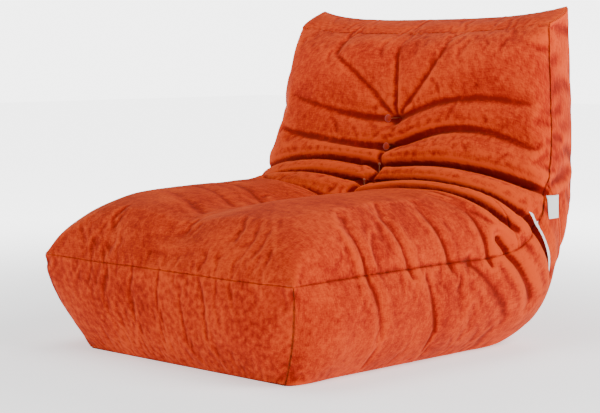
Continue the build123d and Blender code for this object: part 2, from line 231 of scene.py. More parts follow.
def arc(start, end, bow=(0, 0, 0)):
    """A crease's places from one end to the other, bowed at its middle."""
    return [tuple(s + (e - s) * t + b * math.sin(math.pi * t) for s, e, b in zip(start, end, bow))
            for t in (0, 0.25, 0.5, 0.75, 1)]


def ray(spot, heading, length, bow=0.0):
    """A crease up or across the backrest from a button, at a heading in degrees from straight up."""
    turn = math.radians(heading)
    places = []
    for t in (0, 0.33, 0.67, 1):
        across = length * t * math.sin(turn)
        up = spot[2] + length * t * math.cos(turn) + bow * math.sin(math.pi * t)
        places.append((across, 0.78 + 0.40 * max(0, up - 0.50) + 0.25 * across**2, up))
    return places


def roll_across(spot, reach, lift, drop, back):
    """The crease of a roll from a tie out to one side: over the lobe, then down and back on the gusset."""
    return [(reach * t, spot[1] + back * t**6, spot[2] + lift * math.sin(math.pi * t) - drop * t**4)
            for t in (0, 0.18, 0.42, 0.68, 0.86, 0.95, 1)]


side_edge, lobe_top, side_seam = 0.46, 0.34, 0.21
upper_button, lower_button = button_spots
folds = [
    # backrest, fanning out from the upper button
    (ray(upper_button, -4, 0.20), 0.020, 0.004, 0.016),
    (ray(upper_button, 42, 0.27), 0.018, 0.005, 0.020),
    (ray(upper_button, 85, 0.42, 0.035), 0.022, 0.008, 0.022),
    (ray(upper_button, -56, 0.32, 0.015), 0.018, 0.003, 0.020),
    (ray(upper_button, -82, 0.38, -0.015), 0.022, 0.004, 0.020),
    # backrest, from the lower button
    (ray(lower_button, 90, 0.44, 0.055), 0.034, 0.012, 0.018),
    (ray(lower_button, -86, 0.40, -0.010), 0.030, 0.006, 0.018),
    # down the centre line, from the lower button and from tie to tie
    ([lower_button, (-0.01, 0.77, 0.44), tie_spots[0]], 0.024, 0.026, 0.012),
    ([tie_spots[0], (0.02, 0.72, 0.40), tie_spots[1], (-0.02, 0.655, 0.365), tie_spots[2]],
     0.026, 0.026, 0.016),
    # under the top seam
    (arc((0.15, 0.84, 0.72), (0.42, 0.88, 0.71), (0, 0, 0.025)), 0.004, 0.008, 0.012),
    (arc((-0.36, 0.87, 0.73), (-0.14, 0.85, 0.70)), 0.007, 0.002, 0.012),
    # rolls across the crook to the right gusset, then to the left one
    (roll_across(tie_spots[0], 0.47, 0.027, 0.045, 0.08), 0.036, 0.034, 0.016),
    (roll_across(tie_spots[1], 0.47, 0.022, 0.085, 0.10), 0.030, 0.034, 0.015),
    (roll_across((0, 0.65, 0.365), 0.46, 0.030, 0.075, 0.08), 0.018, 0.034, 0.015),
    (roll_across(tie_spots[2], 0.36, 0.030, -0.020, -0.01), 0.016, 0.006, 0.014),
    (roll_across(tie_spots[0], -0.46, 0.025, 0.035, 0.07), 0.036, 0.024, 0.016),
    (roll_across(tie_spots[1], -0.45, 0.030, 0.066, 0.07), 0.030, 0.018, 0.015),
    (roll_across(tie_spots[2], -0.36, 0.025, -0.048, 0.08), 0.026, 0.010, 0.017),
    # across the rear, where the bag bends up off the floor
    (arc((-0.32, 0.93, 0.30), (0.10, 0.945, 0.285), (0, 0, -0.012)), 0.006, 0.003, 0.014),
    (arc((0.36, 0.93, 0.16), (-0.06, 0.93, 0.16), (0, 0, -0.010)), 0.010, 0.003, 0.016),
    (arc((-0.38, 0.90, 0.11), (0.02, 0.90, 0.11), (0, 0, -0.010)), 0.010, 0.003, 0.016),
    (arc((0.40, 0.96, 0.42), (0.05, 0.97, 0.42), (0, 0, 0.020)), 0.008, 0.002, 0.016),
    (arc((-0.40, 0.96, 0.47), (-0.08, 0.975, 0.49), (0, 0, 0.020)), 0.008, 0.002, 0.016),
]
# three shallow puckers run out over the left lobe, a hand's width apart
hand_width = 0.105
for number in range(3):
    run = 0.15 + hand_width * number
    folds.append((arc((-0.02, run, lobe_top), (-0.31, run + 0.11, 0.37), (0, 0, 0.010)),
                  0.008 + 0.002 * number, 0.004, 0.014))
shoulder_pitch, gusset_pitch, gusset_rise, far_side_drift = 0.135, 0.11, 0.04, 0.014
for side, share in ((1, 1.0), (-1, 0.85)):
    drift = 0 if side > 0 else far_side_drift
    # over the shoulder of the seat to the side seam, evenly spaced
    for number, depth in enumerate((0.014, 0.012, 0.011, 0.016)):
        run = 0.20 + shoulder_pitch * number + drift
        folds.append((arc((side * 0.39, run, lobe_top), (side * 0.447, run + 0.02, side_seam),
                          (side * 0.015, 0, 0.010)), 0.003 * share, depth * share, 0.011))
    # down the gusset below the side seam, leaning back towards the floor, deepest at the crook
    for number, depth in enumerate((0.007, 0.013, 0.028, 0.030, 0.016)):
        run, up = 0.44 + gusset_pitch * number + drift, 0.20 + gusset_rise * number
        crease_top = (side * (side_edge + 0.003), run, up)
        crease_foot = (side * 0.43, run + 0.18 - 0.03 * number, up - 0.15)
        folds.append((arc(crease_top, crease_foot, (side * 0.012, 0, 0)),
                      depth * share, 0.5 * depth * share, 0.0145))
    for run, depth in ((0.22, 0.010), (0.40, 0.006)):
        folds.append((arc((side * 0.44, run + drift, side_seam), (side * 0.42, run + drift + 0.04, 0.09)),
                      depth * share, 0.4 * depth * share, 0.012))
    # two puckers at the front corner
    corner = (side * 0.41, 0.005, side_seam)
    folds.append((arc(corner, (side * 0.44, 0.11, 0.14)), 0.006 * share, 0.002, 0.010))
    folds.append((arc(corner, (side * 0.32, 0.010, 0.13)), 0.006 * share, 0.002, 0.010))


def smooth_path(points, steps=8):
    """A smooth path through given points (across, run, up), laid on the skin."""
    given = np.array([(x, front_y + run, up) for x, run, up in points])
    slope = np.gradient(given, axis=0) if len(given) > 2 else np.repeat(given[1:] - given[:1], 2, axis=0)
    path = [given[0]]
    for k in range(len(given) - 1):
        for part in np.linspace(1 / steps, 1, steps):
            path.append(
                given[k] * (2 * part**3 - 3 * part**2 + 1)
                + slope[k] * (part**3 - 2 * part**2 + part)
                + given[k + 1] * (3 * part**2 - 2 * part**3)
                + slope[k + 1] * (part**3 - part**2)
            )
    return np.array([tuple(skin_tree.find_nearest(Vector(place))[0]) for place in path])


def crease(places, path, depth_from, depth_to, width, roll):
    """How far a crease along the path pulls each place in, with the roll of cloth beside it standing out."""
    reach = np.concatenate([[0], np.cumsum(np.linalg.norm(np.diff(path, axis=0), axis=1))])
    inside = (places > path.min(0) - 5 * width) & (places < path.max(0) + 5 * width)
    close = np.where(inside.all(1))[0]
    some = places[close]
    near, where = np.full(len(some), 1.0), np.zeros(len(some))
    for k in range(len(path) - 1):
        start, run = path[k], path[k + 1] - path[k]
        part = np.clip(((some - start) @ run) / (run @ run), 0, 1)
        gap = np.linalg.norm(some - start - part[:, None] * run, axis=1)
        nearer = gap < near
        near[nearer] = gap[nearer]
        where[nearer] = reach[k] + part[nearer] * (reach[k + 1] - reach[k])
    along = where / reach[-1]
    depth = depth_from + (depth_to - depth_from) * along**0.6
    depth = depth * np.clip((1 - along) / 0.12, 0, 1) ** 0.7
    pull, push = np.zeros(len(places)), np.zeros(len(places))
    pull[close] = depth * np.exp(-((near / width) ** 1.3))
    push[close] = roll * depth * np.exp(-(((near - 2.1 * width) / width) ** 2))
    return pull, push


def fold_in(places, strength, beyond, narrowing, roll, tuft):
    """All the folds together: the deepest crease wins, so that crossing folds don't add up."""
    pull, push = np.zeros(len(places)), np.zeros(len(places))
    for points, depth_from, depth_to, width in folds:
        one, other = crease(places, paths[id(points)], strength * max(0, depth_from - beyond),
                            strength * max(0, depth_to - beyond), narrowing * width, roll)
        pull += one**3
        push = np.maximum(push, other)
    for x, run, up in button_spots + tie_spots:
        spot = Vector((x, front_y + run, up))
        on_skin, facing = skin_tree.find_nearest(spot)[:2]
        sunk = max(0.004, (on_skin - spot).dot(facing)) * tuft
        away = np.linalg.norm(places - np.array(on_skin), axis=1)
        pull += (sunk * np.exp(-away / (0.022 * narrowing))) ** 3
    return pull ** (1 / 3), push


def read(mesh):
    """A mesh's places and outward directions."""
    places, outward = np.empty(len(mesh.vertices) * 3), np.empty(len(mesh.vertices) * 3)
    mesh.vertices.foreach_get("co", places)
    mesh.vertex_normals.foreach_get("vector", outward)
    return places.reshape(-1, 3), outward.reshape(-1, 3)


def write(mesh, places):
    mesh.vertices.foreach_set("co", places.ravel())
    mesh.update()


def neighbours(mesh):
    """The two ends of every edge of a mesh."""
    ends = np.empty(2 * len(mesh.edges), dtype=int)
    mesh.edges.foreach_get("vertices", ends)
    return ends.reshape(-1, 2)


def evened(places, ends, rounds):
    """The places, each moved to the middle of its neighbours that many times."""
    here, there = np.concatenate((ends[:, 0], ends[:, 1])), np.concatenate((ends[:, 1], ends[:, 0]))
    touching = np.bincount(here, minlength=len(places))
    for _ in range(rounds):
        places = np.stack([np.bincount(here, places[there, k], len(places)) / touching for k in range(3)], 1)
    return places


def subdivided(mesh):
    """The mesh after one smooth subdivision."""
    maker = bpy.data.objects.new("maker", mesh)
    bpy.context.scene.collection.objects.link(maker)
    finer = maker.modifiers.new("finer", "SUBSURF")
    finer.levels = finer.render_levels = 1
    made = bpy.data.meshes.new_from_object(maker.evaluated_get(bpy.context.evaluated_depsgraph_get()))
    bpy.data.objects.remove(maker)
    return made


skin_tree = BVHTree.FromPolygons([vert.co for vert in skin_mesh.vertices],
                                 [polygon.vertices for polygon in skin_mesh.polygons])
paths = {id(points): smooth_path(points) for points, *_ in folds}
smooth_mesh = skin_mesh.copy()
places, outward = read(skin_mesh)
pulled, pushed = fold_in(places, 0.75, 0.0, 1.0, 0.25, 0.6)
write(skin_mesh, places + outward * (pushed - pulled)[:, None])

# The filling swells the cover: a cloth simulation with pressure, its seams held back.
panels_at = [set() for _ in range(len(skin_mesh.vertices))]
for polygon in skin_mesh.polygons:
    for corner in polygon.vertices:
        panels_at[corner].add(polygon.material_index)
held = np.clip((pulled - 0.003) / 0.015, 0, 1)
sewn = np.array([len(panels) > 1 for panels in panels_at])
held[sewn] = np.maximum(held[sewn], 0.4)
held[places[:, 2] < 0.004] = 1.0
group = skin.vertex_groups.new(name="held")
for k, hold in enumerate(held):
    if hold > 0.01:
        group.add([k], float(hold), "REPLACE")
swelling = skin.modifiers.new("swelling", "CLOTH")
cloth = swelling.settings
cloth.quality = 4
cloth.mass = 0.4
cloth.tension_stiffness = cloth.compression_stiffness = 25
cloth.shear_stiffness = 8
cloth.bending_stiffness = 0.5
cloth.air_damping = 2
cloth.use_pressure = True
cloth.uniform_pressure_force = 4
cloth.shrink_min = -0.012
cloth.vertex_group_mass = "held"
cloth.pin_stiffness = 1
cloth.effector_weights.gravity = 0
swelling.collision_settings.use_collision = False
swelling.collision_settings.use_self_collision = False
for moment in range(1, 21):
    bpy.context.scene.frame_set(moment)
before = read(skin_mesh)[0]
swelled = bpy.data.meshes.new_from_object(skin.evaluated_get(bpy.context.evaluated_depsgraph_get()))
move = read(swelled)[0] - before
skin.modifiers.remove(swelling)
length = np.linalg.norm(move, axis=1)
move *= np.minimum(1, 0.014 / np.maximum(length, 1e-9))[:, None]
write(skin_mesh, before + move)

swelled_places, swelled_outward = read(skin_mesh)
fine_mesh = subdivided(skin_mesh)
fine_rest = subdivided(smooth_mesh)
rest = read(fine_rest)[0]
places, outward = read(fine_mesh)
pulled, pushed = fold_in(rest, 1.0, 0.012, 0.38, 0.15, 0.45)
places = places + outward * (pushed - pulled)[:, None]

# The rear lies flat against the zip, which stiffens it.
zip_middle = np.array((0, 0.473906, 0.225))
wall_out, wall_rise = np.array((0, 0.96265, -0.27075)), np.array((0, 0.27075, 0.96265))


def against_zip(places):
    """The places with those near the zip moved onto its plane, and none below the floor."""
    proud, rise = (places - zip_middle) @ wall_out, (places - zip_middle) @ wall_rise
    hold = np.clip((0.10 - np.abs(rise)) / 0.085, 0, 1) * np.clip((0.41 - np.abs(places[:, 0])) / 0.06, 0, 1)
    hold = hold * hold * (3 - 2 * hold) * (proud > -0.08)
    places = places - (hold * proud)[:, None] * wall_out
    places[:, 2] = np.maximum(places[:, 2], 0.0)
    return places


soft = np.clip(pulled / 0.008, 0, 0.8)[:, None]
places = places * (1 - soft) + evened(places, neighbours(fine_mesh), 2) * soft
places = against_zip(places)
write(fine_mesh, places)

# How far each place stands up from its neighbours. This makes the cover lighter on the crowns of the folds
# and darker in the creases: partly rubbed wear of the pile, partly painted highlight and painted shade.
outward = read(fine_mesh)[1]
around = evened(places, neighbours(fine_mesh), 6)
crown_light_shade_and_wear = np.clip(((places - around) * outward).sum(1) / 0.0012, -1, 1) * 0.5 + 0.5
fine_mesh.attributes.new("crown_light_shade_and_wear", "FLOAT", "POINT").data.foreach_set("value", crown_light_shade_and_wear)
skin_normals = [Vector(way) for way in outward]


# The cover fabric is a brushed chenille: a deep orange pile, mottled where the nap lies both ways, lighter
# along the crowns of the folds and darker in the creases, partly rubbed wear and partly painted highlight
# and painted shade. The base is a plain hard-wearing cloth of the same dye.
class Shade:
    """A shader socket with Python's own operators, so that a sum of masks reads as a sum."""

    def __init__(self, finish, socket):
        self.finish, self.socket = finish, socket

    def sum(self, operation, one, other):
        return self.finish.node("ShaderNodeMath", {"operation": operation}, {0: one, 1: other})

    def __add__(self, other):
        return self.sum("ADD", self, other)

    def __sub__(self, other):
        return self.sum("SUBTRACT", self, other)

    def __rsub__(self, other):
        return self.sum("SUBTRACT", other, self)

    def __mul__(self, other):
        return self.sum("MULTIPLY", self, other)

    __radd__, __rmul__ = __add__, __mul__


class Finish:
    """A procedural finish on a Principled shader, whose constant sockets are set here."""

    def __init__(self, name, constants):
        self.material = bpy.data.materials.new(name)
        self.material.use_nodes = True
        self.tree = self.material.node_tree
        self.shader = self.tree.nodes["Principled BSDF"]
        for socket, value in constants.items():
            self.shader.inputs[socket].default_value = value

    def node(self, kind, settings, inputs, output=0):
        """A node of that kind: its settings first, then the values or links of its sockets."""
        made = self.tree.nodes.new(kind)
        for setting, value in settings.items():
            if setting == "stops":
                for k, (place, shade) in enumerate(value):
                    stop = made.color_ramp.elements[k] if k < 2 else made.color_ramp.elements.new(place)
                    stop.position, stop.color = place, (shade, shade, shade, 1)
            else:
                setattr(made, setting, value)
        for socket, value in inputs.items():
            self.link(value, made.inputs[socket])
        return Shade(self, made.outputs[output])

    def link(self, value, socket):
        if isinstance(value, Shade):
            self.tree.links.new(value.socket, socket)
        else:
            socket.default_value = value

    def noise(self, place, stretch, scale, detail=3):
        """Noise over a place, stretched along its axes."""
        spread = self.node("ShaderNodeMapping", {}, {"Vector": place, "Scale": stretch})
        return self.node("ShaderNodeTexNoise", {}, {"Vector": spread, "Scale": scale, "Detail": detail})

    def mix(self, share, one, other):
        return self.node("ShaderNodeMix", {"data_type": "RGBA"}, {0: share, 6: one, 7: other}, 2)

    def ramp(self, value, low, high):
        """The value from low to high, spread over 0 to 1."""
        return self.node("ShaderNodeMapRange", {"interpolation_type": "SMOOTHSTEP"},
                         {0: value, 1: low, 2: high, 3: 0.0, 4: 1.0})

    def surface(self, colour=None, roughness=None, height=None, depth=0.001, strength=0.5):
        """What varies over the surface: its colour, its roughness and its relief."""
        for value, socket in ((colour, "Base Color"), (roughness, "Roughness")):
            if value is not None:
                self.link(value, self.shader.inputs[socket])
        if height is not None:
            bump = self.node("ShaderNodeBump", {},
                             {"Height": height, "Distance": depth, "Strength": strength})
            self.link(bump, self.shader.inputs["Normal"])
        return self.material


def pile_cloth(name, deep, plain, bright, grain):
    """The brushed chenille, coloured from deep to bright, with a grain of that many tufts to the metre, and
    with painted shade in the creases and a painted highlight on the crowns of the folds, partly rubbed wear.
    """
    cloth = Finish(name, {"Roughness": 0.95, "Sheen Weight": 0.15, "Sheen Roughness": 0.45,
                          "Sheen Tint": (1.0, 0.40, 0.15, 1), "Specular IOR Level": 0.15})
    cut = cloth.node("ShaderNodeAttribute", {"attribute_name": "cut"}, {}, "Vector")
    crown_light_shade_and_wear = cloth.node("ShaderNodeAttribute", {"attribute_name": "crown_light_shade_and_wear"}, {}, "Fac")
    clouds = cloth.noise(cut, (1, 1, 1), 7, 3)
    nap = cloth.noise(cut, (1, 0.6, 1), 64, 5)
    tufts = cloth.noise(cut, (1, 0.35, 1), grain, 3)
    ribs = cloth.noise(cut, (0.25, 1, 0.25), 0.8 * grain, 2)
    lie = 0.30 * clouds + 0.26 * nap + 0.24 * tufts + 0.20 * ribs
    # Painted highlight on the fold crowns and painted shade in the creases, mixed with rubbed wear of the
    # pile.
    rubbed_and_highlit = cloth.ramp(lie + 0.30 * (crown_light_shade_and_wear - 0.5), 0.42, 0.66)
    body = cloth.mix(cloth.ramp(lie + 0.35 * (crown_light_shade_and_wear - 0.5), 0.30, 0.52), deep, plain)
    colour = cloth.mix(rubbed_and_highlit, body, bright)
    relief = 0.6 * tufts + 0.4 * ribs + 0.5 * nap
    return cloth.surface(colour, None, relief, 0.0022, 0.55)


cover_fabric = pile_cloth("cover_chenille", (0.20, 0.004, 0.0005, 1), (0.37, 0.013, 0.0012, 1),
                          (0.62, 0.060, 0.006, 1), 320)
base_fabric = pile_cloth("base_cloth", (0.24, 0.016, 0.003, 1), (0.34, 0.030, 0.006, 1),
                         (0.42, 0.050, 0.012, 1), 700)


whole = bmesh.new()
whole.from_mesh(fine_mesh)
whole_number = whole.verts.layers.int.new("number")
whole_flush = whole.verts.layers.int.new("flush")
for vert in whole.verts:
    vert[whole_number] = vert.index + 1
    vert[whole_flush] = {5, 6} <= {face.material_index for face in vert.link_faces}


slot_half, slot_reach = 0.0068, 0.325


def sewn_panel(name, part, material, above_zip=0):
    """One cut panel: parted from the skin, its edge turned in along the seams and round the zip."""
    panel = whole.copy()
    number, flush = panel.verts.layers.int["number"], panel.verts.layers.int["flush"]
    parts = (7, 8) if above_zip else (part,)
    others = [face for face in panel.faces if face.material_index not in parts]
    bmesh.ops.delete(panel, geom=others, context="FACES")
    if above_zip:
        edge_of_slot = zip_middle + above_zip * slot_half * wall_rise
        for point, way in ((zip_middle, wall_rise), (edge_of_slot, wall_rise),
                           ((slot_reach, 0, 0), (1, 0, 0)), ((-slot_reach, 0, 0), (1, 0, 0))):
            near = [face for face in panel.faces
                    if abs((np.array(face.calc_center_median()) - zip_middle) @ wall_rise) < 0.03]
            near += list({part for face in near for part in face.verts[:] + face.edges[:]})
            bmesh.ops.bisect_plane(panel, geom=near, dist=0.0001, plane_co=point, plane_no=way)
        gone = []
        for face in panel.faces:
            middle = np.array(face.calc_center_median())
            rise = above_zip * ((middle - zip_middle) @ wall_rise)
            if rise < 0 or rise < slot_half and abs(middle[0]) < slot_reach:
                gone.append(face)
        bmesh.ops.delete(panel, geom=gone, context="FACES")
    tuck = 0.0015 if above_zip else 0.0035
    bmesh.ops.inset_region(panel, faces=panel.faces, thickness=0.0025, depth=0, use_boundary=True,
                                  use_even_offset=True)
    for vert in panel.verts:
        if vert.is_boundary and not vert[flush]:
            inward = skin_normals[vert[number] - 1] if vert[number] else vert.normal
            vert.co -= inward * tuck
            vert.co.z = max(vert.co.z, 0)
    for face in panel.faces:
        face.material_index, face.smooth = 0, True
    return placed(name, panel, material)


def placed(name, shape, *materials):
    """A finished bmesh as an object at the origin."""
    mesh = bpy.data.meshes.new(name)
    shape.to_mesh(mesh)
    shape.free()
    for material in materials:
        mesh.materials.append(material)
    piece = bpy.data.objects.new(name, mesh)
    bpy.context.scene.collection.objects.link(piece)
    return piece


cut_panels = {
    # name: part, flat width and length
    "seat_panel": (0, (1.05, 0.80)),
    "backrest_panel": (6, (1.05, 0.60)),
    "front_panel": (4, (0.82, 0.26)),
    "top_panel": (5, (0.82, 0.12)),
    "base_panel": (1, (0.70, 0.74)),
    "rear_panel_lower": (7, (0.80, 0.30)),
    "rear_panel_upper": (8, (0.86, 0.62)),
    "seat_gusset_left": (2, (0.26, 0.90)),
    "seat_gusset_right": (3, (0.26, 0.90)),
    "back_gusset_left": (9, (0.18, 0.42)),
    "back_gusset_right": (10, (0.18, 0.42)),
}
for name, (part, flat) in cut_panels.items():
    material = base_fabric if name == "base_panel" else cover_fabric
    above_zip = {"rear_panel_upper": 1, "rear_panel_lower": -1}.get(name, 0)
    piece = sewn_panel(name + "_cloth", part, material, above_zip)
    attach(piece, "cover_and_fill")
    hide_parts(name)
whole.free()
bpy.data.objects.remove(skin)

# Under the cover lie a layer of polyester wadding behind the front, the seat, the backrest and the top,
# then a closed cotton liner, and in it the loose polystyrene beads that fill the bag.
cover_tree = BVHTree.FromPolygons([vert.co for vert in fine_mesh.vertices],
                                  [polygon.vertices for polygon in fine_mesh.polygons])
ends = neighbours(smooth_mesh)
clearance = fold_in(read(smooth_mesh)[0], 1.0, 0.008, 1.0, 0.0, 0.6)[0]
for _ in range(5):
    widest = clearance.copy()
    np.maximum.at(widest, ends[:, 0], clearance[ends[:, 1]])
    np.maximum.at(widest, ends[:, 1], clearance[ends[:, 0]])
    clearance = widest


def layer(depth):
    """Places at that depth under the cover, clear of its creases."""
    inner = against_zip(swelled_places) - swelled_outward * (clearance + depth)[:, None]
    inner = evened(inner, ends, 6)
    inner[:, 2] = np.maximum(inner[:, 2], 0.004)
    return inner


def inner_piece(depth, step, parts=None, thickness=None):
    """A piece of the mattress at that depth: the whole of it, or some parts with their back."""
    shape = flat_mattress(step)
    gone = [face for face in shape.faces if parts and face.material_index not in parts]
    bmesh.ops.delete(shape, geom=gone, context="FACES")
    bmesh.ops.recalc_face_normals(shape, faces=shape.faces)
    back = []
    if thickness:
        copy = bmesh.ops.duplicate(shape, geom=shape.verts[:] + shape.edges[:] + shape.faces[:])["geom"]
        back = [part for part in copy if isinstance(part, bmesh.types.BMVert)]
        bmesh.ops.reverse_faces(shape, faces=[part for part in copy if isinstance(part, bmesh.types.BMFace)])
        bmesh.ops.bridge_loops(shape, edges=[edge for edge in shape.edges if edge.is_boundary])
    back = set(back)
    front_layer, back_layer = layer(depth), layer(depth + (thickness or 0))
    for vert in shape.verts:
        number = [round(c * n) for c, n in zip(vert.co, (across_count, along_count, thick_count))]
        vert.co = (back_layer if vert in back else front_layer)[skin_vert[tuple(number)]]
    for _ in range(4):
        moved = {}
        for face in shape.faces:
            middle = face.calc_center_median()
            near, facing = cover_tree.find_nearest(middle)[:2]
            if (near - middle).dot(facing) < 0.5 * depth:
                for vert in face.verts:
                    moved[vert] = facing
        for vert, facing in moved.items():
            vert.co -= facing * 0.006
            vert.co.z = max(vert.co.z, 0.004)
    bmesh.ops.recalc_face_normals(shape, faces=shape.faces)
    for face in shape.faces:
        face.material_index, face.smooth = 0, True
    return shape


def loose_weave(name, colour, scale, depth, roughness=0.9):
    """A plain undyed cloth or batting: a matt colour with a fine mottle and relief."""
    cloth = Finish(name, {"Roughness": roughness})
    place = cloth.node("ShaderNodeTexCoord", {}, {}, "Object")
    fibre = cloth.noise(place, (1, 1, 1), scale, 3)
    dark = tuple(0.86 * part for part in colour[:3]) + (1,)
    return cloth.surface(cloth.mix(fibre, dark, colour), None, fibre, depth, 0.5)


wadding = loose_weave("polyester_wadding", (0.90, 0.90, 0.88, 1), 180, 0.002)
liner_cloth = loose_weave("liner_cotton", (0.85, 0.85, 0.82, 1), 900, 0.0004)
bead_white = loose_weave("polystyrene_beads", (0.93, 0.93, 0.93, 1), 320, 0.003, 0.6)
wadded = {"front_wadding": 4, "seat_wadding": 0, "backrest_wadding": 6, "top_wadding": 5}
for name, part in wadded.items():
    shape = inner_piece(0.009, 2, {part}, thickness=0.014)
    piece = placed(name + "_batt", shape, wadding)
    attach(piece, "cover_and_fill")
    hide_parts(name)
for name, depth, step, material, slot, fill in (
    ("inner_liner", 0.028, 2, liner_cloth, "liner_cloth", 0.8),
    ("bead_fill", 0.036, 4, bead_white, "beads", 0.8),
):
    shape = inner_piece(depth, step)
    piece = placed(name + "_bag", shape, material)
    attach(piece, "cover_and_fill")
    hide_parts(name)

# Woven gather tapes are sewn inside both gussets at the crook. They draw the spare cloth into folds.
tape_weave = loose_weave("gather_tape_weave", (0.85, 0.84, 0.80, 1), 1200, 0.0004)
tape_width, tape_depth = 0.012, 0.006
tape_low, tape_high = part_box("gather_tape_left")
tape_top = np.array((tape_low[1] + tape_width / 2, tape_high[2]))
tape_foot = np.array((tape_high[1] - tape_width / 2, tape_low[2]))
tape_length = float(np.linalg.norm(tape_foot - tape_top))
tape_way = (tape_foot - tape_top) / tape_length
for side, way in (("left", -1), ("right", 1)):
    strip = bmesh.new()
    bmesh.ops.create_grid(strip, x_segments=40, y_segments=3, size=0.5)
    for vert in strip.verts:
        along, across = tape_length * (vert.co.x + 0.5), tape_width * vert.co.y
        back, up = tape_top + along * tape_way + across * np.array((tape_way[1], -tape_way[0]))
        on_skin, facing = skin_tree.ray_cast(Vector((way * 0.7, back, up)), Vector((-way, 0, 0)))[:2]
        vert.co = on_skin - facing * tape_depth
    bmesh.ops.recalc_face_normals(strip, faces=strip.faces)
    for face in strip.faces:
        face.smooth = True
    piece = placed("gather_tape_" + side + "_strip", strip, tape_weave)
    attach(piece, "cover_and_fill")
    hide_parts("gather_tape_" + side)

# Two buttons on the centre line of the backrest, domed caps covered in the cover fabric. Steel shanks
# and waxed twine tie them, and the three knots below them, through the bag to plastic anchors.
button_spin = 28
buttons = bmesh.new()
for spot_x, run, up in button_spots:
    profile = [(0, 0.0070), (0.0035, 0.0068), (0.0065, 0.0060), (0.0086, 0.0044), (0.0097, 0.0024),
               (0.0098, 0.0008), (0.0088, -0.0002), (0.0060, -0.0006), (0, -0.0006)]
    line = [buttons.verts.new((spot_x + radius, front_y + run - height, up)) for radius, height in profile]
    edges = [buttons.edges.new(pair) for pair in zip(line, line[1:])]
    bmesh.ops.spin(buttons, geom=line + edges, cent=(spot_x, front_y + run, up), axis=(0, 1, 0),
                   angle=math.tau, steps=button_spin, use_merge=True)
bmesh.ops.remove_doubles(buttons, verts=buttons.verts, dist=0.00005)
bmesh.ops.recalc_face_normals(buttons, faces=buttons.faces)
for face in buttons.faces:
    face.smooth = True
button_cloth = Finish("button_chenille",
                      {"Roughness": 0.95, "Sheen Weight": 0.25, "Specular IOR Level": 0.15})
button_place = button_cloth.node("ShaderNodeTexCoord", {}, {}, "Object")
button_pile = button_cloth.noise(button_place, (1, 1, 1), 420, 3)
button_cloth.surface(button_cloth.mix(button_pile, (0.17, 0.004, 0.0006, 1), (0.44, 0.030, 0.003, 1)), None,
                     button_pile, 0.0012, 0.5)
caps = placed("covered_buttons", buttons, button_cloth.material)
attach(caps, "cover_and_fill")
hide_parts("button_caps")

twine = Finish("waxed_twine", {"Roughness": 0.55})
twine_place = twine.node("ShaderNodeTexCoord", {}, {}, "Object")
strand = twine.node("ShaderNodeTexWave", {"bands_direction": "DIAGONAL"},
                    {"Vector": twine_place, "Scale": 260.0})
twine.surface(twine.mix(strand, (0.20, 0.05, 0.02, 1), (0.34, 0.09, 0.03, 1)), None, strand, 0.0003, 0.6)


def mottled(name, colour, roughness, metallic, scale):
    """A hard finish whose roughness varies a little, as handling leaves it."""
    finish = Finish(name, {"Base Color": colour, "Metallic": metallic})
    place = finish.node("ShaderNodeTexCoord", {}, {}, "Object")
    wear = finish.noise(place, (1, 1, 1), scale, 2)
    return finish.surface(None, roughness + 0.25 * (wear - 0.5), wear, 0.0001, 0.3)


finishes = {
    "button_shanks": mottled("shank_steel", (0.60, 0.60, 0.60, 1), 0.35, 1.0, 900),
    "button_twines": twine.material,
    "crook_ties": twine.material,
    "tie_anchors": mottled("anchor_plastic", (0.85, 0.85, 0.85, 1), 0.45, 0.0, 300),
    "zip_stops": mottled("zip_alloy", (0.35, 0.34, 0.33, 1), 0.32, 1.0, 700),
}
finishes["zip_slider"] = finishes["zip_pull"] = finishes["zip_stops"]
for node, material in finishes.items():
    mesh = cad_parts[node].data
    mesh.materials.clear()
    mesh.materials.append(material)

# The zip across the lower rear is a nylon coil, its two halves stitched to woven tapes that are sewn
# under the turned edges of the slot. The metal slider closes it, and its pull lies along the tape.
def on_zip(x, rise, out):
    """A place given along the zip, up the wall and out of the bag."""
    return Vector(zip_middle + np.array((x, 0, 0)) + rise * wall_rise + out * wall_out)


